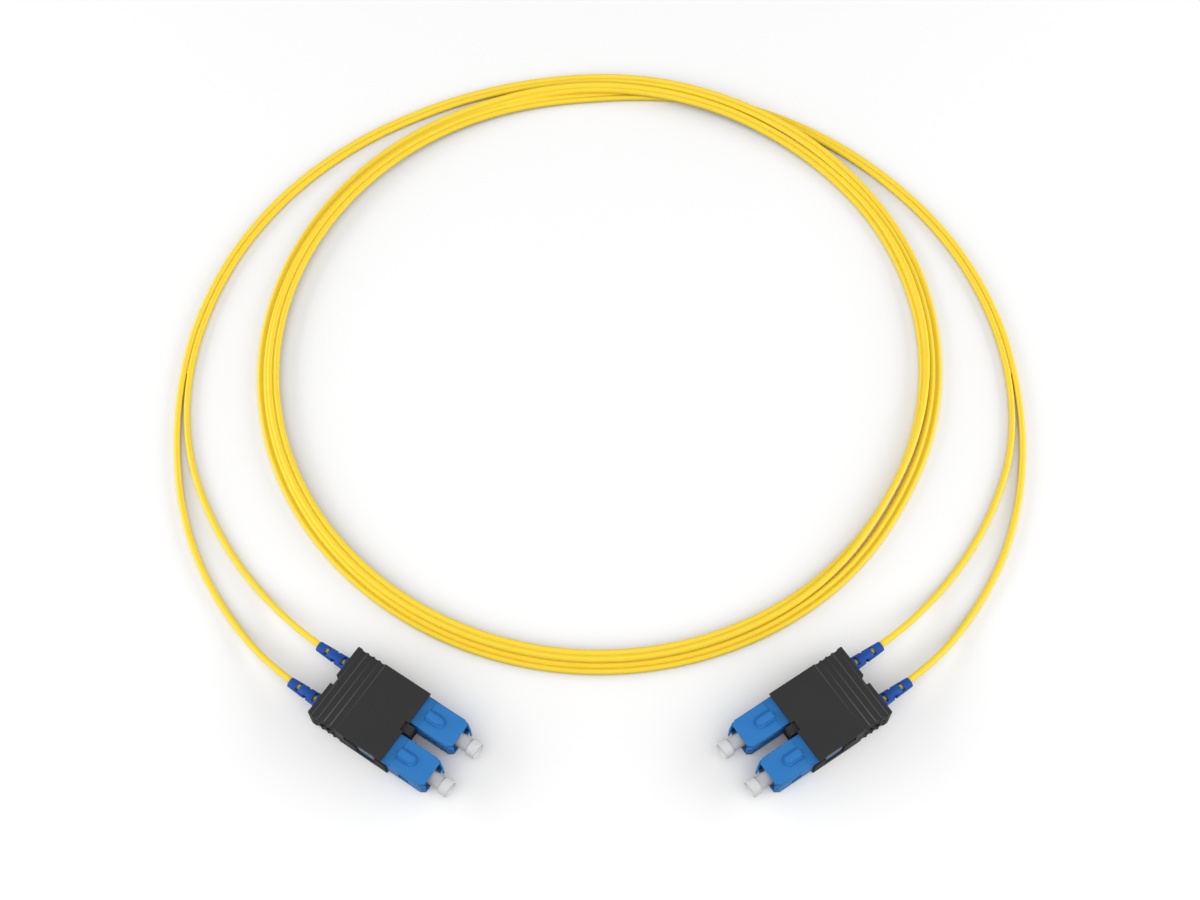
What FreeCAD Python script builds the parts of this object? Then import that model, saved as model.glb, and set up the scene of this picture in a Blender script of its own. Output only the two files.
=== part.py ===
import FreeCAD, Part
import math
import os
from FreeCAD import Vector

# Duplex fibre optic patch cable laid as a loose coil, in millimetres, +Z up.
# The two plug pairs lie side by side about the origin, mirrored in the plane X = 0, and rest on Z = 0.
# Each plug is modelled along +X on its own axis, with X = 0 at the front edge of the clip's upper shell.

# Cord: two round strands side by side, with a single fibre in each
STRAND_D = 1.9
STRAND_PITCH = 2.0
EXIT_RUN = 4.0
ARC_SHARE = 0.4

# Plug pair
PLUG_PITCH = 12.7
PAIR_X = 52.35
PAIR_YAW = 33.7

# Outer housing, the blue sleeve that is pushed and pulled
HOUSING_W = 8.9
HOUSING_H = 7.4
HOUSING_FRONT = 13.3
HOUSING_REAR = -13.0
HOUSING_WALL = 0.85
CORNER_LONG = 1.3
CORNER_WIDE = 0.75
EDGE_ROUND = 0.35
STEP_X = 2.6
STEP_DROP = 0.2
KEY_W = 2.0
KEY_L = 4.9
KEY_H = 0.65
MOAT_W = 0.8
MOAT_DEPTH = 0.15
PRONG_REACH = 1.3
PRONG_L = 2.0
PRONG_THICK = 0.52
PRONG_H = 4.6
WINDOW_REAR = -9.0
WINDOW_LOW = -2.9
WINDOW_H = 5.7
LATCH_REAR = 5.0
LATCH_L = 3.2
LATCH_LOW = -2.6
LATCH_H = 3.0
PULL_TRAVEL = 1.5

# Plug frame, the inner body that the sleeve slides on
SLIDE_GAP = 0.08
FRAME_FRONT = 12.3
FRAME_REAR = -9.0
BOSS_L = 6.2
BOSS_H = 3.3
BOSS_RAMP = 0.8
NOSE_BORE = 4.8
NOSE_DEPTH = 5.0
BULKHEAD = 2.0
FRAME_CORNER_L = 0.8
FERRULE_HOLE_GAP = 0.35

# Ferrule, its holder, and the spring behind it
FERRULE_D = 2.5
FERRULE_L = 10.5
FERRULE_TIP = 14.3
FERRULE_CHAMFER = 0.3
FIT_GAP = 0.03
HOLDER_D = 4.0
HOLDER_L = 3.2
HOLDER_COLLAR = 0.6
STEM_D = 2.0
STEM_L = 5.0
SPRING_D = 3.9
SPRING_WIRE = 0.5
SPRING_TURNS = 5

# Buffered fibre inside the plug
FIBRE_D = 0.9
FIBRE_GAP = 0.05
FIBRE_SLACK = 1.2

# Rear body, crimp sleeve and bend boot
REAR_BODY_FRONT = -6.2
REAR_FLANGE_L = 1.2
REAR_FLANGE_D = 5.0
REAR_BODY_D = 4.5
REAR_BORE = 2.4
BARREL_D = 3.4
BARREL_INSET = 3.6
CRIMP_D = 4.3
CRIMP_GAP = 0.1
CRIMP_LIP = 0.3
BOOT_GAP = 0.4
SHOULDER_GAP = 0.8
BOOT_FAT_D = 5.1
BOOT_TAPER_L = 0.6
BOOT_NECK_D = 4.05
BOOT_TAIL_D = 2.95
BOOT_SHOWN = 10.9
BOOT_LIP = 0.1
BOOT_BORE_GAP = 0.08
BOOT_FLARE = 0.2
BOOT_FLARE_L = 5.0
SLOTS = 3
SLOT_W = 0.9
SLOT_FIRST = 3.2
SLOT_PITCH = 2.9
SLOT_REACH = 0.62
SLOT_BRIDGE = 1.15

# Dust cap over the ferrule
CAP_NECK_D = 4.1
CAP_HEAD_D = 5.1
CAP_REAR = 8.7
CAP_HEAD_L = 2.7
CAP_END = 19.2
CAP_RIM = 0.3
CAP_MOUTH = 0.4
CAP_TIP_GAP = 0.5

# Duplex clip, two shells that snap together round both plugs
CLIP_W = 22.7
CLIP_L = 24.6
CLIP_WALL = 1.0
CLIP_GAP = 0.05
CLIP_ROUND = 0.3
REAR_WALL = 2.2
REAR_GAP = 0.3
SIDE_SILL = 5.8
SIDE_INSET = 0.3
RAIL_REACH = 1.0
CENTRE_RIB = 3.2
POST_W = 2.6
POST_GAP = 0.1
POST_REACH = 2.0
POST_LOW = 5.5
POST_RISE = 0.3
FRONT_NOTCH = 1.0
REAR_NOTCH_W = 2.6
REAR_NOTCH = 1.0
FLUTE_START = 1.35
FLUTE_PITCH = 2.03
FLUTES = 4
SIDE_FLUTE_DEPTH = 0.35
FLAT_FLUTE_DEPTH = 0.15

# Coil: two turns and the overlap at the far side
COIL_Y = 119.1
COIL_IN_R = 97.2
COIL_OUT_R = 105.6
COIL_H = 3.9
COIL_ROUND = 1.2
JOIN_LEFT = (121.0, 110.1)
JOIN_RIGHT = (44.0, 111.6)

AXIS_Z = CLIP_WALL + HOUSING_H / 2
HOUSING_HALF = HOUSING_W / 2
CORNER_SLOPE = CORNER_WIDE / CORNER_LONG
FRAME_W = HOUSING_W - 2 * HOUSING_WALL - 2 * SLIDE_GAP
FRAME_H = HOUSING_H - 2 * HOUSING_WALL - 2 * SLIDE_GAP
CLIP_H = HOUSING_H + 2 * CLIP_WALL
NOSE_FLOOR = FRAME_FRONT - NOSE_DEPTH
HOLDER_FRONT = NOSE_FLOOR - BULKHEAD
HOLDER_REAR = HOLDER_FRONT - HOLDER_L
FERRULE_REAR = FERRULE_TIP - FERRULE_L
BOOT_FRONT = HOUSING_REAR - BOOT_GAP
BOOT_SHOULDER = -CLIP_L + REAR_WALL + SHOULDER_GAP
BARREL_END = BOOT_SHOULDER + BARREL_INSET
STRAND_START = BARREL_END - FIBRE_SLACK
BOOT_TAIL = -CLIP_L - BOOT_SHOWN
SIDE_OPEN_REAR = HOUSING_REAR + SIDE_INSET
REAR_OPENING = BOOT_NECK_D + 2 * REAR_GAP
CAVITY_D = BOOT_FAT_D + 2 * REAR_GAP


# Plain shapes
def box(x0, x1, y0, y1, z0, z1):
    return Part.makeBox(x1 - x0, y1 - y0, z1 - z0, Vector(x0, y0, z0))


def rod(x0, x1, diameter):
    return Part.makeCylinder(diameter / 2, x1 - x0, Vector(x0, 0, 0), Vector(1, 0, 0))


def turned(profile):
    points = [Vector(x, 0, r) for x, r in profile]
    face = Part.Face(Part.makePolygon(points + points[:1]))
    return face.revolve(Vector(0, 0, 0), Vector(1, 0, 0), 360)


def plate(points, z0, z1):
    corners = [Vector(x, y, z0) for x, y in points]
    face = Part.Face(Part.makePolygon(corners + corners[:1]))
    return face.extrude(Vector(0, 0, z1 - z0))


def edges_along(shape, axis, keep=lambda middle: True):
    found = []
    for edge in shape.Edges:
        if not isinstance(edge.Curve, Part.Line):
            continue
        if abs(abs(edge.Curve.Direction.dot(axis)) - 1) < 1e-6 and keep(edge.CenterOfMass):
            found.append(edge)
    return found


# Outer housing
def keyed_outline(rear, front, half):
    tip = front - half
    left = Vector(rear, half, 0)
    right = Vector(rear, -half, 0)
    arc = Part.Arc(Vector(tip, half, 0), Vector(front, 0, 0), Vector(tip, -half, 0))
    sides = [
        Part.LineSegment(left, Vector(tip, half, 0)).toShape(),
        arc.toShape(),
        Part.LineSegment(Vector(tip, -half, 0), right).toShape(),
        Part.LineSegment(right, left).toShape(),
    ]
    return Part.Face(Part.Wire(sides))


def raised(face, z0, height):
    solid = face.extrude(Vector(0, 0, height))
    solid.translate(Vector(0, 0, z0))
    return solid


def prong(side):
    root = HOUSING_FRONT - CORNER_LONG
    tip = HOUSING_FRONT + PRONG_REACH
    bend = tip - PRONG_L
    tip_y = HOUSING_HALF - PRONG_L * CORNER_SLOPE
    points = [
        (root, HOUSING_HALF),
        (bend, HOUSING_HALF),
        (tip, tip_y),
        (tip, tip_y - PRONG_THICK),
        (bend, HOUSING_HALF - PRONG_THICK),
        (root, HOUSING_HALF - PRONG_THICK),
    ]
    return plate([(x, side * y) for x, y in points], -PRONG_H / 2, PRONG_H / 2)


def outer_housing():
    half_h = HOUSING_H / 2
    near = HOUSING_FRONT - CORNER_LONG
    narrow = HOUSING_HALF - CORNER_WIDE
    outline = [
        (HOUSING_REAR, -HOUSING_HALF),
        (near, -HOUSING_HALF),
        (HOUSING_FRONT, -narrow),
        (HOUSING_FRONT, narrow),
        (near, HOUSING_HALF),
        (HOUSING_REAR, HOUSING_HALF),
    ]
    body = plate(outline, -half_h, half_h)
    body = body.makeFillet(EDGE_ROUND, edges_along(body, Vector(1, 0, 0)))
    body = body.cut(box(HOUSING_REAR - 1, STEP_X, -HOUSING_W, HOUSING_W, half_h - STEP_DROP, half_h + 1))
    moat = keyed_outline(STEP_X, STEP_X + KEY_L + MOAT_W, KEY_W / 2 + MOAT_W)
    body = body.cut(raised(moat, half_h - MOAT_DEPTH, 1))
    root = half_h - HOUSING_WALL / 2
    key = raised(keyed_outline(STEP_X, STEP_X + KEY_L, KEY_W / 2), root, half_h + KEY_H - root)
    body = body.fuse(key)
    inner_w = HOUSING_W - 2 * HOUSING_WALL
    inner_h = HOUSING_H - 2 * HOUSING_WALL
    reach = HOUSING_FRONT + 2 * PRONG_REACH
    body = body.cut(box(HOUSING_REAR - 1, reach, -inner_w / 2, inner_w / 2, -inner_h / 2, inner_h / 2))
    return body.cut(side_windows()).fuse([prong(1), prong(-1)]).removeSplitter()


def side_windows():
    front = WINDOW_REAR + BOSS_L + PULL_TRAVEL + 4 * SLIDE_GAP
    w = HOUSING_W
    boss = box(WINDOW_REAR, front, -w, w, WINDOW_LOW, WINDOW_LOW + WINDOW_H)
    latch = box(LATCH_REAR, LATCH_REAR + LATCH_L, -w, w, LATCH_LOW, LATCH_LOW + LATCH_H)
    return [boss, latch]


# Plug frame with its latch bosses
def plug_frame():
    half_w = FRAME_W / 2
    near = FRAME_FRONT - FRAME_CORNER_L
    narrow = half_w - FRAME_CORNER_L * CORNER_SLOPE
    outline = [
        (FRAME_REAR, -half_w),
        (near, -half_w),
        (FRAME_FRONT, -narrow),
        (FRAME_FRONT, narrow),
        (near, half_w),
        (FRAME_REAR, half_w),
    ]
    body = plate(outline, -FRAME_H / 2, FRAME_H / 2)
    body = body.makeChamfer(EDGE_ROUND, edges_along(body, Vector(1, 0, 0)))
    rear = WINDOW_REAR + SLIDE_GAP
    boss_half = HOUSING_HALF - SLIDE_GAP
    low = WINDOW_LOW + SLIDE_GAP
    for side in (1, -1):
        points = [
            (max(rear, FRAME_REAR), 0),
            (WINDOW_REAR + BOSS_L, 0),
            (WINDOW_REAR + BOSS_L, side * (boss_half - BOSS_RAMP)),
            (WINDOW_REAR + BOSS_L - BOSS_RAMP, side * boss_half),
            (max(rear, FRAME_REAR), side * boss_half),
        ]
        high = min(low + BOSS_H, FRAME_H / 2 - EDGE_ROUND)
        body = body.fuse(plate(points, max(low, -FRAME_H / 2 + EDGE_ROUND), high))
    body = body.cut(rod(NOSE_FLOOR, FRAME_FRONT + 1, NOSE_BORE))
    body = body.cut(rod(HOLDER_FRONT - 1, NOSE_FLOOR + 1, FERRULE_D + 2 * FERRULE_HOLE_GAP))
    body = body.cut(rod(FRAME_REAR - 1, HOLDER_FRONT + SLIDE_GAP, REAR_BODY_D + 2 * SLIDE_GAP))
    return body.removeSplitter()


# Ferrule, holder, spring and fibre
def ferrule():
    r = FERRULE_D / 2
    c = FERRULE_CHAMFER
    x0 = FERRULE_REAR
    x1 = FERRULE_TIP
    return turned([(x0, 0), (x0, r), (x1 - c, r), (x1, r - c), (x1, 0)])


def ferrule_holder():
    bore = FIBRE_D / 2 + FIBRE_GAP
    seat = FERRULE_D / 2
    profile = [
        (HOLDER_REAR - STEM_L, bore),
        (HOLDER_REAR - STEM_L, STEM_D / 2),
        (HOLDER_REAR, STEM_D / 2),
        (HOLDER_REAR, HOLDER_D / 2),
        (HOLDER_FRONT - HOLDER_COLLAR, HOLDER_D / 2),
        (HOLDER_FRONT, (HOLDER_D - HOLDER_COLLAR) / 2),
        (HOLDER_FRONT, seat),
        (FERRULE_REAR, seat),
        (FERRULE_REAR, bore),
    ]
    return turned(profile)


def spring():
    radius = (SPRING_D - SPRING_WIRE) / 2
    length = HOLDER_REAR - REAR_BODY_FRONT
    pitch = (length - 1.2 * SPRING_WIRE) / SPRING_TURNS
    helix = Part.makeHelix(pitch, pitch * SPRING_TURNS, radius)
    half = SPRING_WIRE / 2
    corners = [(-half, -half), (half, -half), (half, half), (-half, half)]
    points = [Vector(radius + a, 0, b) for a, b in corners]
    section = Part.makePolygon(points + points[:1])
    coil = Part.Wire(helix.Edges).makePipeShell([section], True, True)
    coil.rotate(Vector(0, 0, 0), Vector(0, 1, 0), 90)
    coil.translate(Vector(REAR_BODY_FRONT + 0.6 * SPRING_WIRE, 0, 0))
    return coil


def fibre():
    return rod(STRAND_START + FIBRE_SLACK, FERRULE_REAR, FIBRE_D)


# Rear body, crimp sleeve and boot
def rear_body():
    bore = REAR_BORE / 2
    flange = FRAME_REAR - REAR_FLANGE_L
    profile = [
        (REAR_BODY_FRONT, bore),
        (REAR_BODY_FRONT, REAR_BODY_D / 2),
        (FRAME_REAR, REAR_BODY_D / 2),
        (FRAME_REAR, REAR_FLANGE_D / 2),
        (flange, REAR_FLANGE_D / 2),
        (flange, BARREL_D / 2),
        (BARREL_END, BARREL_D / 2),
        (BARREL_END, bore),
    ]
    return turned(profile)


def crimp_sleeve():
    inner = BARREL_D / 2 + FIT_GAP
    front = FRAME_REAR - REAR_FLANGE_L - CRIMP_GAP
    profile = [
        (BARREL_END, inner),
        (BARREL_END, CRIMP_D / 2 - CRIMP_LIP),
        (BARREL_END + CRIMP_LIP, CRIMP_D / 2),
        (front, CRIMP_D / 2),
        (front, inner),
    ]
    return turned(profile)


def boot():
    bore = STRAND_D / 2 + BOOT_BORE_GAP
    sleeve = CRIMP_D / 2 + FIT_GAP
    crimp_end = BARREL_END - SLIDE_GAP
    profile = [
        (BOOT_TAIL, STRAND_D / 2 + BOOT_FLARE),
        (BOOT_TAIL, BOOT_TAIL_D / 2 - BOOT_LIP),
        (BOOT_TAIL + BOOT_LIP, BOOT_TAIL_D / 2),
        (-CLIP_L, BOOT_NECK_D / 2),
        (BOOT_SHOULDER - BOOT_TAPER_L, BOOT_NECK_D / 2),
        (BOOT_SHOULDER, BOOT_FAT_D / 2),
        (BOOT_FRONT, BOOT_FAT_D / 2),
        (BOOT_FRONT, sleeve),
        (crimp_end, sleeve),
        (crimp_end, bore),
        (BOOT_TAIL + BOOT_FLARE_L, bore),
    ]
    return turned(profile).cut(boot_slots())


def boot_slots():
    half = BOOT_NECK_D / 2
    slots = []
    for index in range(SLOTS):
        x = BOOT_TAIL + SLOT_FIRST + SLOT_PITCH * index - SLOT_W / 2
        for turn in (0, 180):
            slot = box(x, x + SLOT_W, -half * SLOT_REACH, half * SLOT_REACH, SLOT_BRIDGE / 2, 2 * half)
            slot.rotate(Vector(0, 0, 0), Vector(1, 0, 0), turn + 90 * (index % 2))
            slots.append(slot)
    return slots


def dust_cap():
    bore = FERRULE_D / 2 + FIT_GAP
    head = CAP_END - CAP_HEAD_L
    neck = CAP_NECK_D / 2
    fat = CAP_HEAD_D / 2
    tip = FERRULE_TIP + CAP_TIP_GAP
    edge = CAP_RIM / 2
    profile = [
        (CAP_REAR, bore + CAP_MOUTH / 2),
        (CAP_REAR, neck - CAP_MOUTH / 2),
        (CAP_REAR + CAP_MOUTH, neck),
        (head, neck),
        (head + edge, fat - edge),
        (CAP_END - CAP_RIM, fat),
        (CAP_END, fat - edge),
        (CAP_END, fat - 2 * CAP_RIM),
        (CAP_END - CAP_RIM, fat - 2 * CAP_RIM),
        (CAP_END - CAP_RIM, 0),
        (tip, 0),
        (tip, bore),
        (CAP_REAR + CAP_MOUTH, bore),
    ]
    return turned(profile)


# Duplex clip
def flute_row(depth, half, length, axis):
    radius = (FLUTE_PITCH ** 2 / 4 + depth ** 2) / (2 * depth)
    out = half + radius - depth
    row = []
    for index in range(FLUTES):
        x = -CLIP_L + FLUTE_START + FLUTE_PITCH * (index + 0.5)
        for side in (1, -1):
            centre = Vector(x, 0, CLIP_H / 2) + axis.cross(Vector(1, 0, 0)) * (side * out)
            row.append(Part.makeCylinder(radius, length, centre - axis * (length / 2), axis))
    return row


def clip_blank(front):
    half = CLIP_W / 2
    body = box(-CLIP_L, front, -half, half, 0, CLIP_H)
    body = body.makeFillet(CLIP_ROUND, edges_along(body, Vector(1, 0, 0)))
    corners = edges_along(body, Vector(0, 0, 1), lambda middle: middle.x < -CLIP_L / 2)
    body = body.makeFillet(CLIP_ROUND, corners)
    body = body.cut(flute_row(FLAT_FLUTE_DEPTH, CLIP_H / 2, 2 * CLIP_W, Vector(0, 1, 0)))
    body = body.cut(flute_row(SIDE_FLUTE_DEPTH, half, 2 * CLIP_H, Vector(0, 0, 1)))
    notch = REAR_NOTCH_W / 2
    return body.cut(box(-CLIP_L - 1, -CLIP_L + REAR_NOTCH, -notch, notch, -1, CLIP_H + 1))


def clip_hollow():
    half_w = HOUSING_HALF + CLIP_GAP
    half_h = HOUSING_H / 2
    rear = HOUSING_REAR - CLIP_GAP
    front = RAIL_REACH + 1
    hollow = []
    for side in (1, -1):
        y = side * PLUG_PITCH / 2
        hollow.append(box(rear, front, y - half_w, y + half_w, AXIS_Z - half_h, AXIS_Z + half_h))
        cavity = rod(-CLIP_L + REAR_WALL, rear + 1, CAVITY_D)
        exit_hole = rod(-CLIP_L - 1, -CLIP_L + REAR_WALL + 1, REAR_OPENING)
        for hole in (cavity, exit_hole):
            hole.translate(Vector(0, y, AXIS_Z))
            hollow.append(hole)
    return hollow


def clip_side_gaps():
    gaps = []
    inside = PLUG_PITCH / 2
    outside = CLIP_W
    window_front = WINDOW_REAR + BOSS_L + 2 * SLIDE_GAP
    for side in (1, -1):
        y0, y1 = sorted((side * inside, side * outside))
        gaps.append(box(SIDE_OPEN_REAR, RAIL_REACH + 1, y0, y1, SIDE_SILL, AXIS_Z + HOUSING_H / 2))
        gaps.append(box(WINDOW_REAR, window_front, y0, y1, AXIS_Z + WINDOW_LOW, SIDE_SILL + 1))
    return gaps


def clip_upper():
    half = CLIP_W / 2
    body = clip_blank(0).common(box(-CLIP_L, 0, -half, half, AXIS_Z, CLIP_H))
    body = body.cut(clip_hollow() + clip_side_gaps())
    skirt = box(SIDE_OPEN_REAR, 1, -CLIP_W, CLIP_W, 0, AXIS_Z + HOUSING_H / 2)
    body = body.cut(skirt)
    notch = POST_W / 2 + POST_GAP
    return body.cut(box(-FRONT_NOTCH, 1, -notch, notch, 0, CLIP_H + 1)).removeSplitter()


def clip_lower():
    half = CLIP_W / 2
    top = AXIS_Z + HOUSING_H / 2
    rear_part = box(-CLIP_L, SIDE_OPEN_REAR, -half, half, 0, AXIS_Z)
    front_part = box(SIDE_OPEN_REAR, RAIL_REACH, -half, half, 0, SIDE_SILL)
    rib = box(SIDE_OPEN_REAR, 0, -CENTRE_RIB / 2, CENTRE_RIB / 2, 0, top)
    body = clip_blank(RAIL_REACH).common(rear_part.fuse([front_part, rib]))
    post = box(-FRONT_NOTCH, POST_REACH, -POST_W / 2, POST_W / 2, POST_LOW, top + POST_RISE)
    post = post.makeFillet(CLIP_ROUND, edges_along(post, Vector(0, 1, 0), lambda m: m.x > 0))
    body = body.fuse(post)
    return body.cut(clip_hollow() + clip_side_gaps()).removeSplitter()


# Placing the two plug pairs, the right one a mirror image of the left
def place_pair(shape):
    moved = shape.copy()
    moved.rotate(Vector(0, 0, 0), Vector(0, 0, 1), -PAIR_YAW)
    moved.translate(Vector(-PAIR_X, 0, 0))
    return moved


def pair_parts():
    plug_parts = {
        "outer_housing": outer_housing(),
        "plug_frame": plug_frame(),
        "ferrule": ferrule(),
        "ferrule_holder": ferrule_holder(),
        "spring": spring(),
        "fibre": fibre(),
        "rear_body": rear_body(),
        "crimp_sleeve": crimp_sleeve(),
        "boot": boot(),
        "dust_cap": dust_cap(),
    }
    parts = {"clip_upper": clip_upper(), "clip_lower": clip_lower()}
    for place, side in (("inner", 1), ("outer", -1)):
        for name, shape in plug_parts.items():
            moved = shape.copy()
            moved.translate(Vector(0, side * PLUG_PITCH / 2, AXIS_Z))
            parts[place + "_" + name] = moved
    return {name: place_pair(shape) for name, shape in parts.items()}


def mirrored(shape):
    return shape.mirror(Vector(0, 0, 0), Vector(1, 0, 0))


# Cord
LEG_OUTER = [(102.6, 27.1), (115.1, 45.7), (122.7, 65.0), (126.7, 84.8)]
LEG_INNER = [(96.2, 37.4), (107.3, 51.1), (116.6, 67.3), (123.2, 84.8)]
DUPLEX_LEFT = [(-127.0, 105.3), (-125.3, 127.1), (-118.9, 149.6), (-108.7, 169.3), (-95.0, 186.8),
               (-77.0, 202.3)]
DUPLEX_RIGHT = [(126.5, 105.3), (124.4, 127.3), (117.6, 149.3), (107.0, 168.6), (93.9, 184.5)]


def polar(angle, radius):
    turn = math.radians(angle)
    return (radius * math.cos(turn), COIL_Y + radius * math.sin(turn))


def beside(points, index, offset):
    before = points[max(index - 1, 0)]
    after = points[min(index + 1, len(points) - 1)]
    along = Vector(after[0] - before[0], after[1] - before[1], 0).normalize()
    x, y = points[index]
    return (x - along.y * offset, y + along.x * offset)


def plug_point(x, side, mirror, shift):
    turn = math.radians(-PAIR_YAW)
    y = side * PLUG_PITCH / 2
    px = -PAIR_X + x * math.cos(turn) - y * math.sin(turn)
    py = x * math.sin(turn) + y * math.cos(turn) + shift
    return Vector(mirror * px, py, AXIS_Z)


def strand_points(end, side, shift):
    mirror = 1 if end == "left" else -1
    leg = LEG_INNER if side > 0 else LEG_OUTER
    duplex = DUPLEX_LEFT if end == "left" else DUPLEX_RIGHT
    join = JOIN_LEFT if end == "left" else JOIN_RIGHT
    duplex = duplex + [polar(*join)]
    points = [plug_point(STRAND_START, side, mirror, shift)]
    points.append(plug_point(BOOT_TAIL - EXIT_RUN, side, mirror, shift))
    floor = STRAND_D / 2
    for x, y in leg:
        points.append(Vector(-mirror * x, y, floor))
    offset = -mirror * side * STRAND_PITCH / 2
    for index in range(len(duplex)):
        x, y = beside(duplex, index, offset)
        points.append(Vector(x, y, floor))
    return points


def rounded_path(points, name):
    edges = []
    start = points[0]
    radii = []
    for index in range(1, len(points) - 1):
        before, here, after = points[index - 1:index + 2]
        into = (here - before).normalize()
        out = (after - here).normalize()
        turn = into.getAngle(out)
        tangent = ARC_SHARE * min((here - before).Length, (after - here).Length)
        radii.append(tangent / math.tan(turn / 2))
        first = here - into * tangent
        last = here + out * tangent
        bulge = (here - (first + last) * 0.5).normalize()
        sag = radii[-1] * (1 / math.cos(turn / 2) - 1)
        edges.append(Part.LineSegment(start, first).toShape())
        edges.append(Part.Arc(first, here - bulge * sag, last).toShape())
        start = last
    edges.append(Part.LineSegment(start, points[-1]).toShape())
    print(name, "radii", [round(r, 1) for r in radii])
    return Part.Wire(edges)


def tube(points, name):
    path = rounded_path(points, name)
    ring = Part.makeCircle(STRAND_D / 2, points[0], points[1] - points[0])
    solid = path.makePipeShell([Part.Wire([ring])], True, True)
    ideal = math.pi * STRAND_D ** 2 / 4 * path.Length
    print(name, "length", round(path.Length, 1), "volume ratio", round(solid.Volume / ideal, 4))
    return solid


def crescent(angles, radii, inner):
    outer = [Vector(*polar(a, r), 0) for a, r in zip(angles, radii)]
    within = [Vector(*polar(a, inner), 0) for a in angles]
    sides = [
        Part.Arc(*outer).toShape(),
        Part.LineSegment(outer[2], within[2]).toShape(),
        Part.Arc(*within).toShape(),
        Part.LineSegment(within[0], outer[0]).toShape(),
    ]
    return Part.Face(Part.Wire(sides)).extrude(Vector(0, 0, COIL_H))


def coil():
    profile = Part.makePolygon([
        Vector(COIL_IN_R, 0, 0), Vector(COIL_OUT_R, 0, 0), Vector(COIL_OUT_R, 0, COIL_H),
        Vector(COIL_IN_R, 0, COIL_H), Vector(COIL_IN_R, 0, 0)])
    ring = Part.Face(profile).revolve(Vector(0, 0, 0), Vector(0, 0, 1), 360)
    top = [edge for edge in ring.Edges if abs(edge.CenterOfMass.z - COIL_H) < 1e-6]
    ring = ring.makeFillet(COIL_ROUND, top)
    ring.translate(Vector(0, COIL_Y, 0))
    middle = (COIL_IN_R + COIL_OUT_R) / 2
    reach = STRAND_PITCH / 2 + STRAND_D / 2
    left_angle, left_radius = JOIN_LEFT
    right_angle, right_radius = JOIN_RIGHT
    left = crescent((left_angle, 70, 5), (left_radius + reach, 108.6, COIL_OUT_R), middle)
    right = crescent((88, 66, right_angle), (105.9, 107.9, right_radius + reach), middle)
    return ring.fuse([left, right]).removeSplitter()


def build():
    left = pair_parts()
    bounds = Part.Compound(list(left.values())).BoundBox
    shift = -(bounds.YMin + bounds.YMax) / 2
    parts = {}
    for name, shape in left.items():
        shape.translate(Vector(0, shift, 0))
        parts["left_" + name] = shape
        parts["right_" + name] = mirrored(shape)
    print("pair shift", round(shift, 3))
    bundle = coil()
    parts["coil"] = bundle
    for end in ("left", "right"):
        for place, side in (("inner", 1), ("outer", -1)):
            name = end + "_" + place + "_strand"
            parts[name] = tube(strand_points(end, side, shift), name).cut(bundle)
    return parts


os.makedirs("parts", exist_ok=True)
for name, shape in build().items():
    if len(shape.Solids) != 1 or not shape.isValid():
        print("check", name, len(shape.Solids), shape.isValid())
    shape.exportStep("parts/" + name + ".step")
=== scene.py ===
import bpy
import math
from mathutils import Matrix, Vector


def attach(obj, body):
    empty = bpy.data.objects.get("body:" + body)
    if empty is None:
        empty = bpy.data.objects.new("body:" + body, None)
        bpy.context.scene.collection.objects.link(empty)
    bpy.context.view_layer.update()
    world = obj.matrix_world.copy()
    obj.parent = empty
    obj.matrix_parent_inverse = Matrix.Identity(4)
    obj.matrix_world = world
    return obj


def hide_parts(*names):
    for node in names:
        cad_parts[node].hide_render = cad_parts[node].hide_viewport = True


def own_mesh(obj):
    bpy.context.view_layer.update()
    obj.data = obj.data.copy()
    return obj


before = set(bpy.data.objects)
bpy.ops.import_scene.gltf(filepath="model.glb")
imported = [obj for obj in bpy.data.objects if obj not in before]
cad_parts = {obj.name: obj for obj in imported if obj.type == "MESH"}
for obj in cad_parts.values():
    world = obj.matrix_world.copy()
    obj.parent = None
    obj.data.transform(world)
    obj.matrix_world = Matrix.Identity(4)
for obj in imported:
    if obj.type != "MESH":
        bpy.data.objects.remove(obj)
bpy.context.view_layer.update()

# Table, light and camera
# A seamless white table top in a light tent, with a wide soft panel above and a low one at each side.
# The camera stands half a metre off with a 50 mm lens and looks down at 62 degrees.
VIEW_CENTRE = Vector((0, 0.08527, 0))
VIEW_DISTANCE = 0.499
VIEW_ELEVATION = math.radians(62)
LENS_MM = 50
SENSOR_MM = 36
NEAREST_SEEN = 0.01
TABLE_SIZE = 6.0
TABLE_WHITE = (0.935, 0.935, 0.935)
TABLE_BOUNCE = (0.06, 0.06, 0.06)
TABLE_ROUGHNESS = 0.9
SKY_STRENGTH = 0.32
SKY_SEEN = 1.0
SEEN_RAYS = ("Is Camera Ray", "Is Glossy Ray", "Is Transmission Ray")
# Place, width, height and power of each soft panel
PANELS = [((0, -0.75, 1.0), 2.4, 1.8, 13.7),
          ((-1.1, 0.1, 0.34), 1.5, 0.6, 11.6),
          ((1.1, 0.1, 0.34), 1.5, 0.6, 11.6)]


class Signal:
    """A node's socket that takes part in arithmetic, and adds the Math nodes for it."""

    def __init__(self, wiring, socket):
        self.wiring = wiring
        self.socket = socket

    def maths(self, operation, first, second):
        return self.wiring.node("ShaderNodeMath", {"operation": operation}, {0: first, 1: second})

    def __add__(self, other):
        return self.maths("ADD", self, other)

    def __radd__(self, other):
        return self.maths("ADD", other, self)

    def __mul__(self, other):
        return self.maths("MULTIPLY", self, other)

    def __rmul__(self, other):
        return self.maths("MULTIPLY", other, self)

    def __gt__(self, other):
        return self.maths("GREATER_THAN", self, other)


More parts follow.
